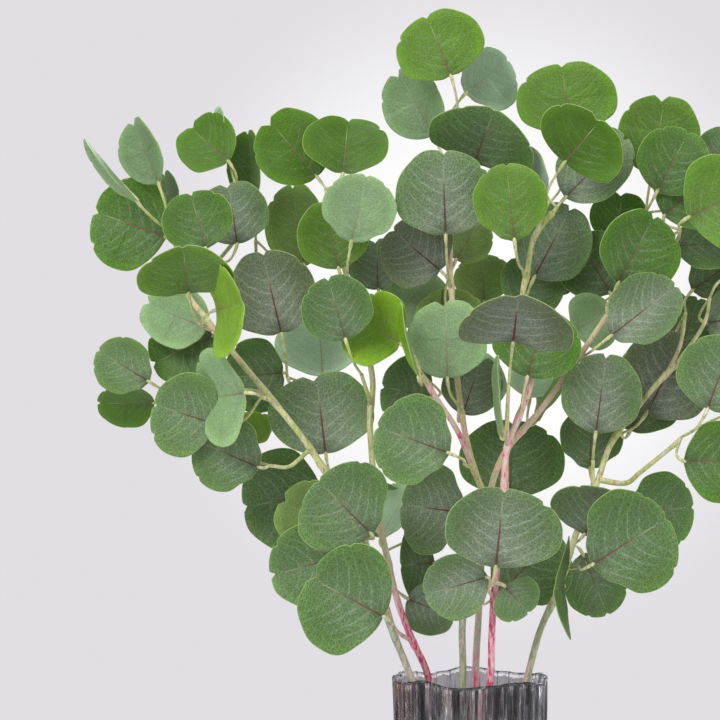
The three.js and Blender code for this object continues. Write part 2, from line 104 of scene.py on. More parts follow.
# A shoot is the points of its twig, then its leaves. A leaf is its base (across, up, depth), its
# heading, length, width, lean, roll, fold and tone. The heading turns from +X towards +Z, lean tips
# the blade to the back, roll twists it about its midrib, and fold lifts its two sides.
SHOOTS = {
    "left": [
        ([(-204, 521, 2), (-211, 533, 1)],
         [(-218, 566, 0, 112, 48, 54, 0, 56, 8, "S"),
          (-233, 553, -18, 130, 58, 50, 0, 82, 6, "S")]),
        ([(-203, 515, 1), (-205, 522, 7)],
         [(-213, 528, 16, 160, 54, 66, 5, 0, 8, "D"),
          (-208, 531, 32, 98, 44, 44, 10, 55, 6, "K")]),
        ([(-201, 507, 0), (-193, 512, 4)],
         [(-185, 520, -10, 106, 42, 50, 10, 0, 12, "D"),
          (-163, 523, 16, 98, 44, 50, 4, 0, 8, "G")]),
        ([(-199, 493, -1), (-188, 500, 18), (-160, 535, 28), (-163, 560, 26)],
         [(-169, 581, 22, 138, 46, 44, 30, 0, 10, "V"),
          (-173, 603, 30, 100, 17, 12, 0, 50, 10, "P")]),
        ([(-184, 470, -5), (-190, 467, -6)],
         [(-197, 489, -22, 93, 48, 68, -48, 0, 10, "E"),
          (-178, 477, -18, 8, 50, 68, -62, 0, 14, "F"),
          (-184, 464, 7, 158, 48, 44, 0, 0, 8, "S"), (-180, 459, 13, 205, 47, 52, 0, 0, 8, "D")]),
        ([(-103, 366, -12), (-107, 371, 8), (-118, 405, 20), (-128, 430, 18)],
         [(-132, 460, 8, 103, 60, 62, -6, 0, 8, "U"),
          (-130, 433, 20, 185, 42, 52, 0, 0, 8, "K"), (-103, 431, 26, 95, 48, 64, 30, 0, 8, "P")]),
        ([(-172, 455, -7), (-161, 466, 34), (-150, 490, 40), (-150, 526, 38)],
         [(-151, 553, 38, 95, 50, 50, 0, 60, 8, "V"), (-116, 508, 50, 98, 58, 46, 0, 25, 8, "O")]),
        ([(-143, 419, -11), (-165, 421, 16), (-200, 420, 16), (-212, 419, 12)],
         [(-225, 427, 6, 148, 42, 40, 0, 0, 8, "M"), (-221, 412, 16, 180, 40, 40, 0, 42, 8, "V")]),
        ([(-137, 413, -12), (-146, 416, -18)],
         [(-157, 419, -26, 189, 48, 70, 46, 0, 10, "S"),
          (-178, 397, -8, 162, 46, 60, 0, 0, 8, "M")]),
        ([(-112, 380, -12), (-119, 373, -10), (-128, 367, -4), (-140, 368, -2)],
         [(-148, 367, -4, 157, 48, 54, 0, 0, 8, "M"), (-152, 384, 12, 72, 22, 34, 0, 40, 8, "F")]),
        ([(-97, 358, -12), (-98, 364, -5)],
         [(-101, 376, 0, 97, 58, 74, 14, 0, 8, "G"), (-104, 350, 22, 192, 56, 72, 0, 0, 8, "K")]),
        ([(-74, 315, -12), (-71, 317, -18)],
         [(-69, 320, -24, 135, 54, 72, 8, 0, 8, "M")]),
        ([(-52, 246, -14), (-57, 256, -22)],
         [(-60, 262, -36, 152, 60, 80, 4, 0, 8, "K")]),
    ],
    "inner_left": [
        ([(-100, 558, 8), (-101, 562, 8)],
         [(-107, 570, 10, 130, 54, 54, 6, 0, 8, "V"), (-89, 572, -2, 85, 46, 60, 28, 0, 8, "V")]),
        ([(-82, 486, 3), (-85, 494, -4)],
         [(-92, 506, -6, 100, 48, 50, 0, 0, 8, "E"), (-83, 525, -22, 77, 48, 52, -6, 0, 8, "S")]),
        ([(-69, 410, -4), (-76, 432, -16)],
         [(-87, 456, -33, 106, 46, 50, 0, 0, 8, "K")]),
        ([(-57, 300, 5), (-59, 308, 14)],
         [(-62, 318, 18, 62, 42, 40, 0, 55, 8, "P"),
          (-44, 330, 32, 150, 40, 44, 0, 30, 8, "M"), (-44, 275, 12, -22, 36, 38, 0, 0, 8, "G")]),
        ([(-40, 245, 9), (-52, 253, 3), (-58, 270, 0), (-68, 296, -2)],
         [(-80, 307, -6, 195, 62, 60, 0, 0, 8, "M"), (-88, 322, 8, 155, 50, 52, 0, 0, 8, "O")]),
    ],
    "inner_side": [
        ([(-28, 422, -17), (-34, 432, -22)],
         [(-48, 453, -24, 150, 42, 54, 12, 0, 24, "F"),
          (-36, 430, -38, 104, 54, 36, 0, 84, 6, "F"), (-27, 416, -4, 168, 36, 52, 0, 0, 8, "K")]),
        ([(-52, 472, 0), (-56, 474, 10)],
         [(-54, 470, 20, 48, 44, 48, 0, 0, 8, "S"), (-64, 491, 12, 92, 36, 44, 0, 30, 8, "G")]),
    ],
    "middle": [
        ([(3, 366, -6), (-4, 369, -20)],
         [(-15, 377, -38, 160, 54, 64, 0, 0, 8, "M")]),
        ([(-6, 404, -8), (-8, 410, -12)],
         [(-16, 429, -19, 91, 55, 56, 0, 0, 6, "S"), (-5, 404, 6, 72, 44, 42, 0, 0, 8, "G")]),
        ([(-13, 492, 1), (-15, 498, -4)],
         [(-17, 529, -20, 92, 60, 68, 0, 0, 8, "G"), (-20, 504, -2, 140, 46, 54, 0, 0, 8, "U")]),
        ([(-11, 452, -3), (-11, 458, 8)],
         [(-14, 456, 14, 90, 36, 48, 0, 0, 8, "O"), (-10, 512, 14, 58, 34, 34, 0, 0, 8, "O")]),
        ([(-13, 566, 8), (-13, 574, 12)],
         [(-26, 599, 16, 118, 52, 48, 0, 32, 8, "S"), (3, 580, 2, 70, 50, 76, -42, 0, 10, "K")]),
        ([(-13, 590, 8), (-13, 596, 8)],
         [(-13, 640, -4, 112, 47, 62, 0, 0, 8, "E"), (-3, 629, 14, 38, 38, 52, 0, -30, 8, "P")]),
        ([(5, 316, 1), (0, 322, 6)],
         [(-5, 335, 4, 172, 44, 64, 0, 0, 12, "G"), (-25, 300, 20, 185, 24, 56, 0, 0, 8, "K")]),
    ],
    "upper_right": [
        ([(76, 444, -5), (79, 444, 2)],
         [(99, 459, -18, 38, 58, 48, 0, 14, 8, "G"), (73, 462, 5, 30, 30, 42, 0, 0, 8, "S")]),
        ([(96, 473, -4), (96, 480, -6)],
         [(104, 496, -14, 62, 54, 60, 0, -16, 14, "D"), (98, 489, 12, 120, 46, 52, 0, 0, 8, "K")]),
        ([(115, 504, -1), (134, 514, 4), (145, 526, -4), (147, 533, -14)],
         [(153, 542, -26, 25, 52, 68, 0, 0, 8, "E"), (136, 543, -10, 42, 44, 50, 0, 0, 8, "D"),
          (144, 522, 6, 2, 50, 42, 0, 20, 8, "K")]),
        ([(122, 540, 0), (123, 545, 0)],
         [(131, 560, -14, 62, 48, 52, 0, 0, 8, "D"), (127, 572, 8, 80, 56, 58, 0, 0, 8, "E"),
          (168, 572, 16, 68, 34, 34, 0, 0, 8, "M")]),
        ([(108, 488, -3), (115, 501, 14)],
         [(101, 524, 22, 80, 36, 42, 0, 0, 8, "D"), (72, 490, 34, 120, 36, 42, 0, 0, 8, "M")]),
        ([(38, 392, -3), (40, 396, 6)],
         [(47, 400, 12, 56, 60, 44, 0, 74, 6, "O"), (42, 416, 20, 80, 30, 36, 0, 0, 8, "P")]),
    ],
    "front": [
        ([(17, 275, -21), (12, 282, -26)],
         [(18, 297, -38, 84, 56, 84, 0, -10, 12, "G"),
          (12, 290, -28, 196, 46, 46, 0, 0, 8, "G"), (24, 284, -26, -48, 26, 36, 0, 0, 8, "M"),
          (21, 279, 5, 45, 58, 62, 0, 0, 8, "K")]),
        ([(24, 352, -16), (26, 356, 0)],
         [(28, 346, 20, 88, 54, 74, 0, 0, 8, "K"), (19, 412, 16, 108, 36, 36, 0, 45, 8, "P")]),
        ([(26, 382, -14), (26, 396, -26), (27, 425, -36)],
         [(30, 454, -46, 86, 50, 80, -46, 0, 14, "U"), (22, 388, -26, 92, 58, 40, 0, 86, 4, "S")]),
        ([(34, 402, -13), (36, 408, -16)],
         [(40, 430, -16, 74, 50, 62, 0, 0, 8, "D")]),
        ([(41, 466, -8), (38, 474, 8)],
         [(34, 478, 18, 62, 40, 46, 0, 0, 8, "M"), (10, 482, 28, 92, 34, 42, 0, 0, 8, "O"),
          (45, 500, 5, 62, 56, 54, 0, 0, 8, "G")]),
        ([(39, 499, -6), (37, 505, -10)],
         [(31, 526, -32, 96, 54, 52, 0, 0, 10, "E")]),
        ([(47, 531, -6), (51, 546, -10)],
         [(66, 580, -22, 50, 42, 66, -20, 0, 8, "V"), (69, 600, 18, 95, 50, 70, 0, 0, 8, "E")]),
        ([(58, 545, -6), (61, 549, -6)],
         [(67, 556, -2, 45, 60, 50, 0, 20, 8, "G"), (52, 560, -6, 112, 33, 34, 0, 60, 6, "P")]),
    ],
    "right": [
        ([(57, 269, -5), (60, 276, -10)],
         [(66, 284, -12, 180, 34, 72, -74, 0, 6, "D")]),
        ([(67, 296, -6), (76, 297, -20)],
         [(86, 299, -34, 32, 62, 76, 0, 0, 8, "K")]),
        ([(70, 306, -6), (72, 313, 2)],
         [(80, 320, -8, 60, 48, 68, -40, 0, 8, "G"), (79, 306, 5, -68, 46, 44, 0, 0, 8, "K")]),
        ([(83, 342, -5), (98, 342, 8)],
         [(111, 335, 20, 5, 46, 54, 0, 0, 8, "K"), (84, 366, 20, 88, 44, 44, 0, 0, 8, "M")]),
        ([(86, 349, -4), (86, 372, -6)],
         [(88, 391, -10, 82, 56, 56, 0, 0, 8, "G")]),
        ([(101, 388, -2), (105, 390, 8)],
         [(112, 392, 18, 70, 62, 56, 0, 0, 8, "K"), (123, 404, 6, 62, 62, 66, 0, 0, 8, "U")]),
        ([(144, 439, 0), (157, 456, 2), (165, 470, 4), (168, 486, 4)],
         [(165, 468, 12, 8, 46, 46, 0, 0, 8, "G"), (183, 503, -8, 28, 46, 50, 0, 0, 8, "M")]),
        ([(137, 431, 0), (147, 452, -3), (151, 475, 6)],
         [(156, 491, 14, 36, 50, 46, 0, 0, 8, "K"), (148, 452, 22, 70, 36, 38, 0, 0, 8, "M"),
          (132, 452, 34, 80, 40, 42, 0, 0, 8, "G")]),
    ],
    "outer_side": [
        ([(146, 385, -8), (148, 388, -8)],
         [(166, 407, -22, 70, 54, 62, 0, 0, 8, "M"), (192, 409, 0, 20, 50, 54, 0, 0, 8, "M"),
          (150, 371, -14, 0, 56, 58, 0, 0, 8, "D")]),
    ],
}

# Leaf tones: colour, grey bloom, redness of the midrib, strength of the side veins.
TONES = {
    "F": ((0.165, 0.325, 0.010), 0.00, 0.55, 0.55),
    "V": ((0.060, 0.155, 0.002), 0.00, 0.75, 0.50),
    "E": ((0.092, 0.205, 0.012), 0.10, 0.75, 0.60),
    "M": ((0.094, 0.182, 0.045), 0.42, 0.90, 0.85),
    "D": ((0.056, 0.145, 0.008), 0.20, 0.80, 0.75),
    "G": ((0.090, 0.160, 0.050), 0.85, 0.95, 1.00),
    "U": ((0.088, 0.122, 0.048), 0.85, 1.00, 1.00),
    "K": ((0.070, 0.150, 0.028), 0.35, 0.85, 0.80),
    "P": ((0.330, 0.490, 0.300), 0.20, 0.30, 0.40),
    "O": ((0.175, 0.285, 0.060), 0.15, 0.70, 0.60),
    "S": ((0.205, 0.345, 0.140), 0.30, 0.50, 0.60),
}

# How pink each stem is, as (height, pinkness) from the rim up.
BLUSH = {
    "left": [(222, 0.12), (300, 0.05), (480, 0.25)],
    "inner_left": [(222, 1.0), (260, 0.85), (300, 0.35), (420, 0.15)],
    "middle": [(222, 0.10), (350, 0.25), (560, 0.45)],
    "upper_right": [(222, 0.70), (246, 0.25), (300, 0.20), (420, 0.45), (520, 0.20)],
    "front": [(222, 1.0), (275, 0.85), (330, 0.55), (400, 0.65), (440, 0.50), (500, 0.15)],
    "right": [(222, 0.20), (300, 0.10), (420, 0.20)],
    "inner_side": [(370, 0.55), (430, 0.50), (490, 0.35)],
    "outer_side": [(350, 0.15), (400, 0.10)],
}


# ---- Laying out ----

def growth(depth):
    return 1 - depth * DEPTH_SPREAD / EYE.y


def spot(point):
    across, up, depth = point
    return (Vector((across, 0, up)) - EYE) * growth(depth) + EYE


def chance(piece, purpose):
    """A settled number from 0 to 1 for a piece and a purpose."""
    return math.sin(piece * 12.9898 + purpose * 78.233) * 43758.5453 % 1


def ramp(pairs, value):
    """Reads a list of (place, amount) pairs at a place, in straight lines between them."""
    if value <= pairs[0][0]:
        return pairs[0][1]
    for (low, start), (high, end) in zip(pairs, pairs[1:]):
        if value <= high:
            return start + (end - start) * (value - low) / (high - low)
    return pairs[-1][1]


def smooth_route(points, spans):
    """A rounded route through points, cut into so many spans between each two."""
    route = []
    for i in range(len(points) - 1):
        here, there = points[i], points[i + 1]
        before = points[i - 1] if i else here * 2 - there
        after = points[i + 2] if i + 2 < len(points) else there * 2 - here
        lead, gap, tail = (math.sqrt((b - a).length) for a, b in (
            (before, here), (here, there), (there, after)))
        pull = ((here - before) / lead - (there - before) / (lead + gap)
                + (there - here) / gap) * gap
        push = ((there - here) / gap - (after - here) / (gap + tail)
                + (after - there) / tail) * gap
        for k in range(spans):
            t = k / spans
            route.append(
                here * (2 * t**3 - 3 * t**2 + 1) + pull * (t**3 - 2 * t**2 + t)
                + there * (3 * t**2 - 2 * t**3) + push * (t**3 - t**2))
    route.append(points[-1].copy())
    return route


def deselect():
    bpy.ops.object.select_all(action="DESELECT")


def pick(piece):
    deselect()
    piece.select_set(True)
    bpy.context.view_layer.objects.active = piece


def join(pieces, name):
    deselect()
    for piece in pieces:
        piece.select_set(True)
    bpy.context.view_layer.objects.active = pieces[0]
    if len(pieces) > 1:
        bpy.ops.object.join()
    made = bpy.context.view_layer.objects.active
    made.name = made.data.name = name
    return made


def stand_in(piece, node, material):
    piece.data.materials.clear()
    piece.data.materials.append(material)
    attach(piece, "root")
    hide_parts(node)


def paint(mesh, name, amounts):
    """Puts one amount on each point of a mesh, for its material to read."""
    layer = mesh.attributes.new(name, "FLOAT", "POINT")
    layer.data.foreach_set("value", amounts)


def tint(mesh, name, colour):
    """Puts one colour all over a mesh, for its material to read."""
    layer = mesh.attributes.new(name, "FLOAT_COLOR", "POINT")
    layer.data.foreach_set("color", list(colour) * len(mesh.vertices))


# ---- Leaf moulds: a flat blade one unit long and wide, its base at the origin, its tip at +Y ----

RIM_POINTS = 72
RIM_LINE = 0.016
RING_SCALES = (0.96, 0.93, 0.9, 0.86, 0.8, 0.72, 0.55)


def nudge(mould, place, move, reach):
    """Picks the rim point nearest to a place and drags it and what lies within reach."""
    mesh = mould.data
    nearest = min(mesh.vertices, key=lambda v: (v.co.xy - Vector(place)).length)
    for group in (mesh.vertices, mesh.edges, mesh.polygons):
        group.foreach_set("select", [False] * len(group))
    nearest.select = True
    bpy.ops.object.mode_set(mode="EDIT")
    bpy.ops.transform.translate(
        value=(*move, 0), use_proportional_edit=True, proportional_edit_falloff="SMOOTH",
        proportional_size=reach)
    bpy.ops.object.mode_set(mode="OBJECT")


def mould_leaf(name, nudges):
    deselect()
    bpy.ops.mesh.primitive_circle_add(
        vertices=RIM_POINTS, radius=0.5, fill_type="NGON", location=(0, 0.5, 0))
    mould = bpy.context.object
    mould.name = name
    bpy.ops.object.transform_apply(location=True, rotation=True, scale=True)
    for place, move, reach in nudges:
        nudge(mould, place, move, reach)
    bpy.ops.object.mode_set(mode="EDIT")
    bpy.ops.mesh.select_all(action="SELECT")
    bpy.ops.mesh.inset(thickness=RIM_LINE)
    for scale in RING_SCALES:
        bpy.ops.mesh.extrude_region_move()
        bpy.ops.transform.resize(value=(scale, scale, 1), center_override=(0, 0.5, 0))
    bpy.ops.mesh.poke()
    bpy.ops.mesh.select_all(action="DESELECT")
    bpy.ops.mesh.select_mode(type="VERT")
    bpy.ops.mesh.select_non_manifold()
    bpy.ops.object.mode_set(mode="OBJECT")
    mesh = mould.data
    if mesh.polygons[0].normal.z < 0:
        mesh.flip_normals()
    while mesh.uv_layers:
        mesh.uv_layers.remove(mesh.uv_layers[0])
    blade = mesh.uv_layers.new(name="blade")
    for loop in mesh.loops:
        place = mesh.vertices[loop.vertex_index].co
        blade.data[loop.index].uv = (place.x + 0.5, place.y)
    paint(mesh, "edge", [float(point.select) for point in mesh.vertices])
    return mould


# Each nudge is a place on the rim, how far it is dragged, and the reach of the drag.
MOULDS = [
    mould_leaf("mould_round", [
        ((-0.2, 0.96), (0, 0.022), 0.2), ((0.42, 0.3), (0.012, -0.02), 0.25),
        ((-0.42, 0.24), (-0.02, -0.02), 0.25), ((0, 1), (0.006, -0.060), 0.05),
        ((0.37, 0.84), (-0.026, -0.022), 0.055), ((0, 0), (0, -0.012), 0.08)]),
    mould_leaf("mould_broad", [
        ((0.2, 0.96), (0, 0.034), 0.22), ((0.46, 0.3), (0.02, -0.04), 0.3),
        ((-0.46, 0.3), (-0.012, -0.045), 0.3), ((0.01, 1), (-0.010, -0.052), 0.055),
        ((-0.4, 0.8), (0.030, -0.016), 0.06), ((0, 0), (0, 0.024), 0.1)]),
    mould_leaf("mould_wedge", [
        ((0.33, 0.12), (-0.03, 0.03), 0.2), ((-0.33, 0.12), (0.028, 0.03), 0.2),
        ((0.48, 0.62), (0.014, 0.01), 0.2), ((0, 1), (0, -0.036), 0.05),
        ((0.3, 0.9), (-0.010, -0.020), 0.05), ((-0.43, 0.75), (0.020, -0.008), 0.05),
        ((0, 0), (0, -0.02), 0.09)]),
    mould_leaf("mould_lobed", [
        ((-0.24, 0.94), (-0.01, 0.032), 0.24), ((0.3, 0.9), (0.02, -0.012), 0.2),
        ((0.03, 0.995), (-0.012, -0.080), 0.085), ((0.44, 0.74), (-0.022, -0.010), 0.05),
        ((-0.45, 0.3), (-0.02, -0.03), 0.25), ((0, 0), (0, 0.012), 0.08)]),
]


def leaf_axes(heading, lean, roll):
    """Which way a blade runs from base to tip, its side, and the way its upper face looks."""
    turn, tip, twist = (math.radians(angle) for angle in (heading, lean, roll))
    across, up = math.cos(turn), math.sin(turn)
    along = Vector((across * math.cos(tip), math.sin(tip), up * math.cos(tip)))
    level = Vector((across * math.sin(tip), -math.cos(tip), up * math.sin(tip)))
    side = Matrix.Rotation(-twist, 3, along) @ along.cross(level)
    return along, side, side.cross(along)


def lay_leaf(row, seed):
    """Copies a mould, folds it, waves its rim, curls its tip, thickens it and lays it in place."""
    across, up, depth, heading, length, width, lean, roll, fold, tone = row
    base = spot((across, up, depth))
    along, side, face = leaf_axes(heading, lean, roll)
    grown = growth(depth)
    long, wide = length * grown, width * grown
    lift = math.tan(math.radians(fold + 3 + 6 * chance(seed, 9)))
    handed = 1 if chance(seed, 1) < 0.5 else -1
    wave = (0.5 + 0.9 * chance(seed, 2)) * min(1, wide / 50)
    lobes = 2 + round(chance(seed, 3) * 1.4)
    start = chance(seed, 4) * math.tau
    curl = (chance(seed, 5) - 0.45) * 0.06 * long
    mesh = MOULDS[int(chance(seed, 6) * len(MOULDS))].data.copy()
    leaf = bpy.data.objects.new("leaf", mesh)
    bpy.context.collection.objects.link(leaf)
    for point in mesh.vertices:
        x, y = point.co.x * handed, point.co.y
        out = min(1, 2 * math.hypot(x, y - 0.5))
        turn = math.atan2(y - 0.5, x)
        rise = (math.hypot(x, 0.03) - 0.03) * wide * lift
        rise += wave * out**3 * math.sin(lobes * turn + start)
        rise += curl * (4 * (y - 0.5) ** 2 - 0.5) * (y > 0.5)
        rise += 0.35 * noise.noise(Vector((x * 5, y * 5, seed)))
        rise *= min(1, y * 6 + abs(x) * 4)
        point.co = base + along * (y * long) + side * (x * wide) + face * rise
    if handed < 0:
        mesh.flip_normals()
    pick(leaf)
    solid = leaf.modifiers.new("thickness", "SOLIDIFY")
    solid.thickness = BLADE_THICKNESS
    solid.offset = 0
    bpy.ops.object.modifier_apply(modifier=solid.name)
    mesh = leaf.data
    paint(mesh, "under", [float(point.normal.dot(face) < 0) for point in mesh.vertices])
    colour, bloom, red, veins = TONES[tone]
    shift = 0.88 + 0.24 * chance(seed, 7)
    tint(mesh, "tint", (colour[0] * shift, colour[1] * shift, colour[2] * shift, 1))
    tint(mesh, "marks", (bloom, red, veins, 1))
    mesh.transform(Matrix.Scale(MM, 4))
    mesh.shade_smooth()
    return leaf


# ---- Stems and twigs ----

SLEEVE_LENGTH = 4.5
SLEEVE_TAPER = 1.2

# The rib behind a blade: how far along the blade, and its radius there.
BACK_RIB = ((0.07, 0.85), (0.15, 0.62), (0.26, 0.42), (0.4, 0.2))


def draw_strands(name, strands, sides):
    """Turns strands into one mesh of round rods. A strand is a list of (place, radius, blush)."""
    curve = bpy.data.curves.new(name, "CURVE")
    curve.dimensions = "3D"
    curve.bevel_depth = MM
    curve.bevel_resolution = (sides - 4) // 2
    curve.use_fill_caps = False
    for strand in strands:
        spline = curve.splines.new("POLY")
        spline.points.add(len(strand) - 1)
        for point, (place, radius, _) in zip(spline.points, strand):
            point.co = (*(place * MM), 1)
            point.radius = radius
    piece = bpy.data.objects.new(name, curve)
    bpy.context.collection.objects.link(piece)
    pick(piece)
    bpy.ops.object.convert(target="MESH")
    piece = bpy.context.object
    mesh = piece.data
    blush = [amount for strand in strands for _, _, amount in strand]
    ring = len(mesh.vertices) // len(blush)
    paint(mesh, "blush", [blush[i // ring] for i in range(len(mesh.vertices))])
    bpy.ops.object.mode_set(mode="EDIT")
    bpy.ops.mesh.select_all(action="SELECT")
    bpy.ops.mesh.fill_holes(sides=0)
    bpy.ops.mesh.select_all(action="SELECT")
    bpy.ops.mesh.normals_make_consistent(inside=False)
    bpy.ops.object.mode_set(mode="OBJECT")
    piece.data.shade_smooth()
    return piece


def swell(place, nodes, reach=4.5, size=0.55):
    """How much a stem thickens at a place because shoots leave it nearby."""
    return sum(size * math.exp(-((place - node).length / reach) ** 2) for node in nodes)


def stem_strand(name, route, radius, taper, seed):
    nodes = [spot(twig[0]) for twig, _ in SHOOTS[name]]
    strand = []
    for i, place in enumerate(route):
        part = i / (len(route) - 1)
        wobble = Vector((noise.noise(place * 0.02 + Vector((seed, 0, 0))),
                         noise.noise(place * 0.02 + Vector((0, seed, 9))), 0)) * 0.5
        thick = radius * (1 - taper * part) * (1 + 0.05 * noise.noise(place * 0.08))
        thick += min(0.7, swell(place, nodes))
        strand.append((place + wobble, thick, ramp(BLUSH[name], place.z)))
    return strand


def stem_route(plan):
    (foot_x, foot_y, rim_x, rim_y), run = plan
    foot = Vector((foot_x, foot_y, VASE_FLOOR + STEM_RADIUS * 0.4 + 0.4))
    rim = Vector((rim_x, rim_y, RIM_LEVEL))
    return [foot, foot.lerp(rim, 0.5), rim] + [spot(point) for point in run]


def petiole_strand(fork, row, blush):
    """A leaf stalk from its fork to the blade's base, and on behind the blade as a thinning rib."""
    base = spot(row[:3])
    along, _, face = leaf_axes(row[3], row[6], row[7])
    reach = (base - fork).length
    long = row[4] * growth(row[2])
    bend = (base - along * (0.34 * reach)).lerp(fork, 0.25)
    seat = base + along * 1.2 - face * 1.0
    route = smooth_route([fork, bend, base, seat], 5)[:-1]
    rods = []
    for place in route:
        bare = max(0, (place - base).length - SLEEVE_LENGTH)
        sleeve = max(0, 1 - bare / SLEEVE_TAPER) if reach > 2 * SLEEVE_LENGTH else 0.5
        rods.append((place, PETIOLE_RADIUS + (SLEEVE_RADIUS - PETIOLE_RADIUS) * sleeve, blush))
    for part, radius in BACK_RIB:
        rods.append((base + along * (part * long) - face * (radius + 0.05), radius, blush))
    return rods


def twig_strands(stem, twig, leaves):
    blush = 0.8 * ramp(BLUSH[stem], twig[0][1])
    route = smooth_route([spot(point) for point in twig], 6)
    last = len(route) - 1
    stalk = [(place, TWIG_RADIUS * (1.12 - 0.3 * i / last), blush * (1 - 0.4 * i / last))
             for i, place in enumerate(route)]
    stalk[-1] = (stalk[-1][0], stalk[-1][1] * 1.12, stalk[-1][2])
    return [stalk] + [petiole_strand(route[-1], row, 0.35 * blush) for row in leaves]


# ---- Finishes ----

# Leaf colours
BLOOM_GREY = (0.235, 0.265, 0.235, 1)
NET_FROST = (0.46, 0.54, 0.42, 1)
PALE_VEIN = (0.50, 0.57, 0.47, 1)
GREEN_RIB = (0.34, 0.44, 0.20, 1)
RED_RIB = (0.120, 0.001, 0.020, 1)
DARK_THROAT = (0.035, 0.045, 0.022, 1)
BRIGHT_RIM = (0.34, 0.46, 0.13, 1)
PALE_UNDERSIDE = (0.22, 0.29, 0.19, 1)

# Stem colours
GREY_CREAM = (0.50, 0.50, 0.35, 1)
GREY_GREEN = (0.27, 0.35, 0.15, 1)
STRAW = (0.62, 0.62, 0.27, 1)
YELLOW_GREEN = (0.38, 0.45, 0.11, 1)
PALE_STREAK = (0.70, 0.68, 0.56, 1)
OLIVE_MOTTLE = (0.24, 0.23, 0.13, 1)
FLESH = (0.80, 0.66, 0.58, 1)
ROSE = (0.78, 0.27, 0.36, 1)
DEEP_ROSE = (0.58, 0.018, 0.12, 1)
BROWN_FLECK = (0.20, 0.09, 0.05, 1)

# Glass colours
# The darkest smoked tint; also the painted shade in the glass streaks and in the painted line round
# the lip.
DARK_SMOKE_AND_SHADE = (0.03, 0.03, 0.033, 1)
CLEAR_SMOKE = (0.97, 0.97, 0.98, 1)
# Painted light: a lighter grey for the far wall under the lip, where it is seen through one wall.
PAINTED_LIGHT_SMOKE = (0.70, 0.70, 0.71, 1)
BROWN_RUN = (0.34, 0.11, 0.05, 1)


def new_finish(name):
    material = bpy.data.materials.new(name)
    material.use_nodes = True
    tree = material.node_tree
    return material, tree, tree.nodes["Principled BSDF"]


def wire(tree, source, socket):
    """Links a socket to another, or sets a plain value on it."""
    if isinstance(source, bpy.types.NodeSocket):
        tree.links.new(source, socket)
    else:
        socket.default_value = source


def calc(tree, operation, first, second=0.0):
    node = tree.nodes.new("ShaderNodeMath")
    node.operation = operation
    wire(tree, first, node.inputs[0])
    wire(tree, second, node.inputs[1])
    return node.outputs[0]


def plus(tree, first, second):
    return calc(tree, "ADD", first, second)


def less(tree, first, second):
    return calc(tree, "SUBTRACT", first, second)


def times(tree, first, second):
    return calc(tree, "MULTIPLY", first, second)


def blend(tree, amount, first, second):
    """Mixes two colours: all of the first at 0 and all of the second at 1."""
    node = tree.nodes.new("ShaderNodeMix")
    node.data_type = "RGBA"
    wire(tree, amount, node.inputs["Factor"])
    wire(tree, first, node.inputs["A"])
    wire(tree, second, node.inputs["B"])
    return node.outputs["Result"]


def fade(tree, value, start, end, low=0.0, high=1.0):
    """Goes smoothly from low at start to high at end."""
    node = tree.nodes.new("ShaderNodeMapRange")
    node.interpolation_type = "SMOOTHSTEP"
    wire(tree, value, node.inputs["Value"])
    for socket, amount in zip(("From Min", "From Max", "To Min", "To Max"),
                              (start, end, low, high)):
        node.inputs[socket].default_value = amount
    return node.outputs["Result"]


def split(tree, place):
    node = tree.nodes.new("ShaderNodeSeparateXYZ")
    tree.links.new(place, node.inputs[0])
    return node.outputs["X"], node.outputs["Y"], node.outputs["Z"]


def grain(tree, place, scale, detail=3.0):
    """Cloudy noise from about 0.3 to 0.7. Three scales stretch it along X, Y and Z."""
    node = tree.nodes.new("ShaderNodeTexNoise")
    if isinstance(scale, tuple):
        stretch = tree.nodes.new("ShaderNodeMapping")
        tree.links.new(place, stretch.inputs["Vector"])
        stretch.inputs["Scale"].default_value = scale
        place, scale = stretch.outputs["Vector"], 1.0
    tree.links.new(place, node.inputs["Vector"])
    node.inputs["Scale"].default_value = scale
    node.inputs["Detail"].default_value = detail
    return node.outputs["Fac"]


def net(tree, place, scale, width):
    """A net of fine lines between cells, 1 on a line and 0 beyond its width."""
    node = tree.nodes.new("ShaderNodeTexVoronoi")
    node.feature = "DISTANCE_TO_EDGE"
    tree.links.new(place, node.inputs["Vector"])
    node.inputs["Scale"].default_value = scale
    return fade(tree, node.outputs["Distance"], width, 0.0)


def painted(tree, name, output="Fac"):
    node = tree.nodes.new("ShaderNodeAttribute")
    node.attribute_name = name
    return node.outputs[output]


def relief(tree, shader, height, strength, depth):
    node = tree.nodes.new("ShaderNodeBump")
    node.inputs["Strength"].default_value = strength
    node.inputs["Distance"].default_value = depth
    tree.links.new(height, node.inputs["Height"])
    tree.links.new(node.outputs["Normal"], shader.inputs["Normal"])


def leaf_veins(tree, place, along, aside):
    """The midrib, and side veins that leave it in pairs and arch up towards the rim."""
    drift = times(tree, less(tree, grain(tree, place, 5.0, 2.0), 0.5), 0.09)
    rise = plus(tree, times(tree, aside, 0.38), times(tree, times(tree, aside, aside), 1.45))
    level = plus(tree, less(tree, along, rise), drift)
    pair = calc(tree, "DIVIDE", less(tree, level, 0.03), 0.15)
    away = calc(tree, "PINGPONG", pair, 0.5)
    core = fade(tree, away, 0.05, 0.01)
    vein = fade(tree, away, 0.26, 0.0)
    for limit in (fade(tree, grain(tree, place, 17.0, 4.0), 0.36, 0.62, 0.25, 1.0),
                  fade(tree, aside, 0.47, 0.2),
                  fade(tree, level, 0.8, 0.55),
                  fade(tree, level, -0.04, 0.0)):
        vein = times(tree, vein, limit)
    narrowing = calc(tree, "DIVIDE", aside, less(tree, 1.12, along))
    midrib = times(tree, fade(tree, narrowing, 0.014, 0.008), fade(tree, along, 0.9, 0.66))
    return midrib, vein, core


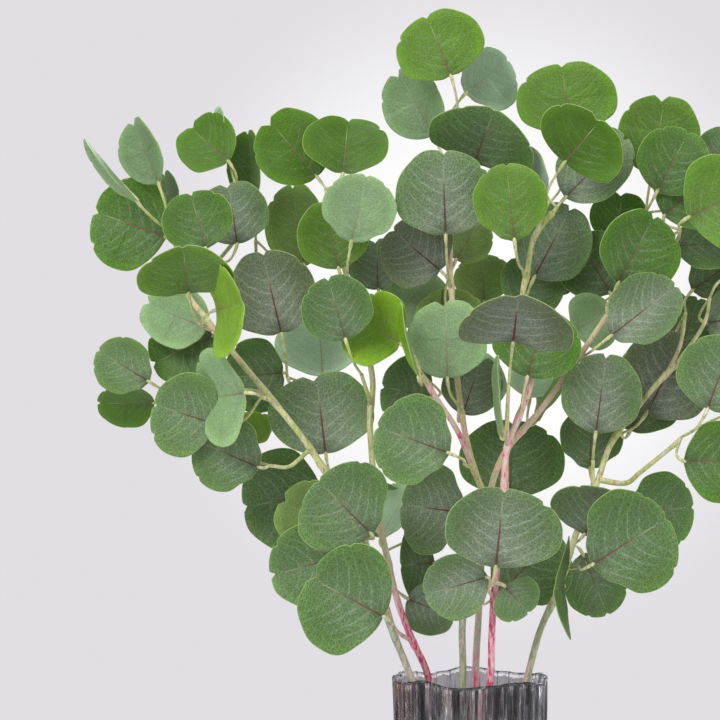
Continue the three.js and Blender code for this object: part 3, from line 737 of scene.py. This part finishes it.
def leaf_green(tree, along, aside, cloud, speck, netted, ribbed):
    """The leaf's own tint, clouded, netted with veinlets and a little brighter round the rim."""
    shade = plus(tree, times(tree, cloud, 0.5), 0.75)
    shade = times(tree, shade, fade(tree, speck, 0.3, 0.75, 0.94, 1.07))
    netted = times(tree, netted, fade(tree, ribbed, 0.4, 0.85, 0.25, 1.0))
    ground = fade(tree, ribbed, 0.4, 0.85, 0.88, 0.68)
    shade = times(tree, shade, plus(tree, netted, ground))
    centred = less(tree, along, 0.5)
    outward = plus(tree, times(tree, centred, centred), times(tree, aside, aside))
    margin = fade(tree, outward, 0.12, 0.25)
    shade = times(tree, shade, plus(tree, times(tree, margin, 0.28), 0.92))
    tinted = tree.nodes.new("ShaderNodeVectorMath")
    tinted.operation = "SCALE"
    tree.links.new(painted(tree, "tint", "Color"), tinted.inputs[0])
    tree.links.new(shade, tinted.inputs["Scale"])
    return tinted.outputs[0]


def leaf_finish():
    material, tree, shader = new_finish("leaf_blade")
    layer = tree.nodes.new("ShaderNodeUVMap")
    layer.uv_map = "blade"
    place = layer.outputs["UV"]
    across, along, _ = split(tree, place)
    aside = calc(tree, "ABSOLUTE", less(tree, across, 0.5))
    marks = tree.nodes.new("ShaderNodeSeparateColor")
    tree.links.new(painted(tree, "marks", "Color"), marks.inputs[0])
    bloom, red, ribbed = marks.outputs[0], marks.outputs[1], marks.outputs[2]
    cloud = grain(tree, place, 3.2, 4.0)
    speck = grain(tree, place, 46.0, 3.0)
    coarse_net = net(tree, place, 24.0, 0.1)
    fine_net = net(tree, place, 58.0, 0.16)
    netted = plus(tree, times(tree, coarse_net, 0.44), times(tree, fine_net, 0.52))
    midrib, side_vein, vein_core = leaf_veins(tree, place, along, aside)
    colour = leaf_green(tree, along, aside, cloud, speck, netted, ribbed)

    # A grey bloom lies along the midrib and spreads out from the base.
    spread = plus(tree, times(tree, aside, 1.5), times(tree, along, 0.45))
    spread = plus(tree, spread, times(tree, less(tree, cloud, 0.5), 0.7))
    cast = times(tree, times(tree, bloom, 0.62), fade(tree, spread, 0.95, 0.1))
    colour = blend(tree, times(tree, cast, 0.62), colour, BLOOM_GREY)
    frost = plus(tree, times(tree, coarse_net, 0.09), times(tree, fine_net, 0.10))
    frost = times(tree, frost, plus(tree, times(tree, cast, 3.0), 0.25))
    colour = blend(tree, frost, colour, NET_FROST)

    lined = plus(tree, times(tree, side_vein, 0.12),
                 times(tree, vein_core, times(tree, side_vein, 0.30)))
    lined = times(tree, lined, times(tree, ribbed, ribbed))
    colour = blend(tree, lined, colour, PALE_VEIN)
    flush = times(tree, red, fade(tree, along, 0.85, 0.45))
    rib_colour = blend(tree, flush, GREEN_RIB, RED_RIB)
    colour = blend(tree, times(tree, midrib, 0.9), colour, rib_colour)
    throat = times(tree, fade(tree, plus(tree, aside, along), 0.34, 0.02), red)
    colour = blend(tree, times(tree, throat, 0.6), colour, DARK_THROAT)
    rim_line = fade(tree, painted(tree, "edge"), 0.5, 0.95, 0.0, 0.75)
    colour = blend(tree, rim_line, colour, BRIGHT_RIM)
    colour = blend(tree, times(tree, painted(tree, "under"), 0.38), colour, PALE_UNDERSIDE)
    tree.links.new(colour, shader.inputs["Base Color"])

    rough = plus(tree, fade(tree, speck, 0.3, 0.7, 0.34, 0.48), times(tree, cast, 0.25))
    tree.links.new(rough, shader.inputs["Roughness"])
    shader.inputs["Specular IOR Level"].default_value = 0.22
    dips = plus(tree, times(tree, side_vein, 0.8), midrib)
    dips = plus(tree, dips, times(tree, coarse_net, 0.22))
    relief(tree, shader, less(tree, times(tree, speck, 0.35), dips), 0.5, 0.0005)
    return material


def stem_finish():
    material, tree, shader = new_finish("stem_skin")
    place = tree.nodes.new("ShaderNodeTexCoord").outputs["Object"]
    blush = painted(tree, "blush")
    streak = grain(tree, place, (420, 420, 38), 4.0)
    patch = grain(tree, place, (70, 70, 26), 3.0)
    fleck = grain(tree, place, (900, 900, 260), 2.0)
    mottle = grain(tree, place, (560, 560, 230), 4.0)

    # Greyer near the vase and yellower among the leaves, patched, streaked and mottled.
    _, _, height = split(tree, place)
    patchy = fade(tree, patch, 0.35, 0.65)
    greyer = blend(tree, patchy, GREY_CREAM, GREY_GREEN)
    yellower = blend(tree, patchy, STRAW, YELLOW_GREEN)
    colour = blend(tree, fade(tree, height, 0.24, 0.33), greyer, yellower)
    colour = blend(tree, fade(tree, streak, 0.45, 0.65, 0.0, 0.55), colour, PALE_STREAK)
    colour = blend(tree, fade(tree, mottle, 0.5, 0.36, 0.0, 0.6), colour, OLIVE_MOTTLE)

    # Pink runs where the stem blushes, deepest where streaks and mottle meet.
    colour = blend(tree, fade(tree, blush, 0.15, 0.8, 0.0, 0.85), colour, FLESH)
    rosy = plus(tree, times(tree, streak, 0.9), times(tree, mottle, 1.1))
    rosy = plus(tree, rosy, times(tree, blush, 0.42))
    blushed = fade(tree, blush, 0.02, 0.25)
    rose = times(tree, fade(tree, rosy, 1.12, 1.34), blushed)
    deep_rose = times(tree, fade(tree, rosy, 1.32, 1.58), blushed)
    colour = blend(tree, times(tree, rose, 0.75), colour, ROSE)
    colour = blend(tree, times(tree, deep_rose, 0.95), colour, DEEP_ROSE)
    colour = blend(tree, fade(tree, fleck, 0.64, 0.76, 0.0, 0.55), colour, BROWN_FLECK)
    tree.links.new(colour, shader.inputs["Base Color"])

    tree.links.new(fade(tree, streak, 0.3, 0.7, 0.42, 0.6), shader.inputs["Roughness"])
    shader.inputs["Specular IOR Level"].default_value = 0.35
    relief(tree, shader, plus(tree, streak, times(tree, fleck, -0.4)), 0.5, 0.0004)
    return material


def glass_finish():
    material, tree, shader = new_finish("smoked_glass")
    place = tree.nodes.new("ShaderNodeTexCoord").outputs["Object"]
    across, back, height = split(tree, place)
    # Dark and clear streaks up the glass: partly its smoked tint, partly painted shade and highlight
    # in place of what the pleats refract.
    wavy = grain(tree, place, (150, 150, 13), 3.0)
    runs = grain(tree, place, (330, 330, 22), 2.0)
    seeds = grain(tree, place, (260, 260, 90), 1.0)
    smoke_and_shade_streaks = plus(tree, times(tree, wavy, 0.5), times(tree, runs, 0.5))
    colour = blend(tree, fade(tree, smoke_and_shade_streaks, 0.46, 0.56), DARK_SMOKE_AND_SHADE, CLEAR_SMOKE)

    # Brown runs on one side. The far wall under the lip is painted an even, lighter grey, as painted
    # light, and a painted shade line runs round the lip, darker at the front.
    brown = times(tree, fade(tree, across, -0.030, -0.045), fade(tree, runs, 0.52, 0.56, 0.0, 0.85))
    colour = blend(tree, brown, colour, BROWN_RUN)
    # Painted light on the upper part of the far wall.
    far_light_from, far_light_to = (VASE_HEIGHT - 20) * MM, (VASE_HEIGHT - 10) * MM
    far_wall_light = times(tree, fade(tree, height, far_light_from, far_light_to),
                 fade(tree, back, 0.0, 0.020, 0.0, 0.85))
    colour = blend(tree, far_wall_light, colour, PAINTED_LIGHT_SMOKE)
    # Painted shade: a dark line along the lip band, stronger at the front than at the back.
    lip = times(tree, fade(tree, painted(tree, "lip"), 0.2, 0.6),
                fade(tree, back, 0.0, 0.030, 0.92, 0.55))
    colour = blend(tree, lip, colour, DARK_SMOKE_AND_SHADE)
    tree.links.new(colour, shader.inputs["Base Color"])

    tree.links.new(fade(tree, seeds, 0.3, 0.7, 0.01, 0.04), shader.inputs["Roughness"])
    shader.inputs["Transmission Weight"].default_value = 1.0
    shader.inputs["IOR"].default_value = 1.5
    relief(tree, shader, smoke_and_shade_streaks, 0.8, 0.004)
    return material


LEAF = leaf_finish()
STEM = stem_finish()
GLASS = glass_finish()


# ---- Vase: a tumbler of pleated glass with a thick floor and a softly waving rim ----

TURN_STEPS = PLEATS * 12
LIP_BAND = 3.2
WAVE_START = 170


def wall_radius(level):
    waist = VASE_HEIGHT * 0.45
    if level < waist:
        return FOOT_RADIUS + (WAIST_RADIUS - FOOT_RADIUS) * level / waist
    return WAIST_RADIUS + (RIM_RADIUS - WAIST_RADIUS) * (level - waist) / (VASE_HEIGHT - waist)


def vase_profile():
    """(radius, height) from the underside up the outside, over the rim and down to the floor."""
    outer, inner, crown = RIM_RADIUS, RIM_RADIUS - VASE_WALL, VASE_HEIGHT
    foot = [(FOOT_RADIUS - 2.2, 0), (FOOT_RADIUS - 0.6, 0.6), (FOOT_RADIUS + 0.1, 2.2)]
    outside = [(wall_radius(level), level) for level in range(5, VASE_HEIGHT - 4, 15)]
    lip = [(outer, crown - 2), (outer - 0.3, crown - 0.6), (outer - 1, crown),
           (inner + 1, crown), (inner + 0.3, crown - 0.7), (inner, crown - 2.2)]
    inside = [(wall_radius(level) - VASE_WALL, level)
              for level in range(VASE_HEIGHT - 8, VASE_FLOOR + 8, -16)]
    floor = [(FOOT_RADIUS - 3.4, VASE_FLOOR + 5), (FOOT_RADIUS - 4.8, VASE_FLOOR + 1.6),
             (FOOT_RADIUS - 7.5, VASE_FLOOR)]
    return foot + outside + lip + inside + floor


def pleat(turn, level, depth, ribs):
    """How far the wall stands out at a turn: broad pleats, uneven ribs between them."""
    broad = math.cos(turn * PLEATS) + 0.5 * math.sin(turn * 3)
    uneven = noise.noise(Vector((math.cos(turn) * 6, math.sin(turn) * 6, level * 0.010)))
    fine = math.cos(turn * 52 + 5.0 * uneven + 0.8 * math.sin(level * 0.035 + turn * 3))
    return depth * (0.75 * broad + 0.7 * uneven) + ribs * fine * (0.6 + 0.8 * abs(uneven))


def raise_vase():
    """Raises the round wall from the underside ring by ring, with its sides still smooth."""
    deselect()
    profile = vase_profile()
    bpy.ops.mesh.primitive_circle_add(
        vertices=TURN_STEPS, radius=profile[0][0] * MM, fill_type="NGON")
    vase = bpy.context.object
    vase.name = vase.data.name = "pleated_vase"
    bpy.ops.object.mode_set(mode="EDIT")
    bpy.ops.mesh.select_all(action="SELECT")
    for (radius, level), (next_radius, next_level) in zip(profile, profile[1:]):
        bpy.ops.mesh.extrude_region_move(
            TRANSFORM_OT_translate={"value": (0, 0, (next_level - level) * MM)})
        grow = next_radius / radius
        bpy.ops.transform.resize(value=(grow, grow, 1), center_override=(0, 0, 0))
    bpy.ops.mesh.select_all(action="DESELECT")
    bpy.ops.mesh.select_non_manifold()
    bpy.ops.mesh.edge_face_add()
    bpy.ops.mesh.select_all(action="SELECT")
    bpy.ops.mesh.normals_make_consistent(inside=False)
    bpy.ops.object.mode_set(mode="OBJECT")
    return vase


def pleat_wall(mesh):
    """Pushes the wall in and out in pleats, which fade at the foot, and waves the rim."""
    for point in mesh.vertices:
        x, y, level = (value / MM for value in point.co)
        turn = math.atan2(y, x)
        inner = math.hypot(x, y) < wall_radius(level) - VASE_WALL / 2
        ribs = -0.2 if inner else RIB_DEPTH
        above_floor = min(1, (level - (VASE_FLOOR - 0.1 if inner else 0.5)) / 6)
        out = pleat(turn, level, PLEAT_DEPTH, ribs) * max(0, above_floor)
        high = max(0, (level - WAVE_START) / (VASE_HEIGHT - WAVE_START)) ** 2
        lift = RIM_WAVE * high * (math.sin(turn * 5 + 0.4) + 0.12 * math.cos(turn * PLEATS)
                                  + 0.35 * math.sin(turn * 8 + 1))
        point.co.x += math.cos(turn) * out * MM
        point.co.y += math.sin(turn) * out * MM
        point.co.z += lift * MM


def build_vase():
    vase = raise_vase()
    # The lip band is marked for the painted shade line round the lip.
    above_band = [point.co.z / MM - VASE_HEIGHT + LIP_BAND for point in vase.data.vertices]
    paint(vase.data, "lip", [max(0, height) / LIP_BAND for height in above_band])
    pleat_wall(vase.data)
    vase.data.shade_smooth()
    pick(vase)
    bpy.ops.object.shade_smooth_by_angle(angle=math.radians(50))
    stand_in(vase, "vase", GLASS)


# ---- Camera, floor and light ----

LENS = 135.7
FLOOR_SPREAD = 1.25
FLOOR_WHITE = (0.70, 0.69, 0.72, 1)
BACKDROP_GREY = (0.752, 0.735, 0.775, 1)
BACKDROP_GLOW = (1.0, 0.995, 1.0, 1)
GLOW_HEADING = (0.045, 0.998, 0.02)
ROOM_LIGHT = 0.92
LIT_POINT = Vector((-0.03, 0, 0.42))

# Each lamp: where it stands, its size and its power. All three face the foliage.
LAMPS = {
    "key": ((-1.3, -1.7, 1.9), 1.2, 40),
    "fill": ((1.6, -1.3, 1.1), 1.2, 12),
    "back": ((0.5, 1.5, 1.9), 1.4, 30),
}


def set_camera():
    lens = bpy.data.cameras.new("camera")
    lens.lens = LENS
    lens.sensor_width = 36
    lens.clip_end = 50
    camera = bpy.data.objects.new("camera", lens)
    camera.location = EYE * MM
    camera.rotation_euler = (math.radians(90), 0, 0)
    bpy.context.collection.objects.link(camera)
    bpy.context.scene.camera = camera
    bpy.context.scene.view_settings.view_transform = "Standard"


def lay_floor():
    deselect()
    bpy.ops.mesh.primitive_circle_add(vertices=96, radius=FLOOR_SPREAD, fill_type="NGON")
    floor = bpy.context.object
    floor.name = "floor"
    material, _, shader = new_finish("floor")
    shader.inputs["Base Color"].default_value = FLOOR_WHITE
    shader.inputs["Roughness"].default_value = 0.8
    floor.data.materials.append(material)


def light_room():
    """A grey backdrop with a glow behind the foliage. The room it lights is brighter above."""
    world = bpy.data.worlds.new("room")
    world.use_nodes = True
    tree = world.node_tree
    backdrop = tree.nodes["Background"]
    heading = tree.nodes.new("ShaderNodeTexCoord").outputs["Generated"]
    off_glow = tree.nodes.new("ShaderNodeVectorMath")
    off_glow.operation = "DISTANCE"
    tree.links.new(heading, off_glow.inputs[0])
    off_glow.inputs[1].default_value = GLOW_HEADING
    bright = fade(tree, off_glow.outputs["Value"], 0.135, 0.045)
    tree.links.new(blend(tree, bright, BACKDROP_GREY, BACKDROP_GLOW), backdrop.inputs["Color"])

    _, _, upward = split(tree, heading)
    strength = tree.nodes.new("ShaderNodeMapRange")
    room = fade(tree, upward, -0.4, 0.8, 0.5 * ROOM_LIGHT, 1.4 * ROOM_LIGHT)
    tree.links.new(room, strength.inputs["To Min"])
    strength.inputs["To Max"].default_value = 1.0
    rays = tree.nodes.new("ShaderNodeLightPath")
    tree.links.new(rays.outputs["Is Camera Ray"], strength.inputs["Value"])
    tree.links.new(strength.outputs["Result"], backdrop.inputs["Strength"])
    bpy.context.scene.world = world

    for name, (place, size, power) in LAMPS.items():
        light = bpy.data.lights.new(name, "AREA")
        light.size = size
        light.energy = power
        lamp = bpy.data.objects.new(name, light)
        lamp.location = place
        aim = LIT_POINT - lamp.location
        lamp.rotation_euler = aim.to_track_quat("-Z", "Y").to_euler()
        bpy.context.collection.objects.link(lamp)


# ---- Assembly ----

set_camera()
lay_floor()
light_room()
build_vase()

carrier_routes = {name: smooth_route(stem_route(plan), 8) for name, plan in STEMS.items()}
carrier_routes.update({
    name: smooth_route([spot(point) for point in run], 8) for name, run in BRANCHES.items()})
for number, (name, route) in enumerate(carrier_routes.items()):
    main = name in STEMS
    node = f"{name}_stem" if main else f"{name}_branch"
    strand = stem_strand(name, route, STEM_RADIUS if main else BRANCH_RADIUS, 0.3, number + 1)
    stand_in(draw_strands(f"{node}_bark", [strand], 12), node, STEM)

for number, (name, shoots) in enumerate(SHOOTS.items()):
    for i, (twig, leaves) in enumerate(shoots):
        seed = 1 + number * 20 + i
        stalks = draw_strands(f"{name}_twig_{i + 1}", twig_strands(name, twig, leaves), 8)
        stand_in(stalks, f"{name}_shoot_{i + 1}", STEM)
        blades = [lay_leaf(row, seed + 0.17 * k) for k, row in enumerate(leaves)]
        blades = join(blades, f"{name}_leaves_{i + 1}")
        stand_in(blades, f"{name}_shoot_{i + 1}", LEAF)

for mould in MOULDS:
    bpy.data.objects.remove(mould)
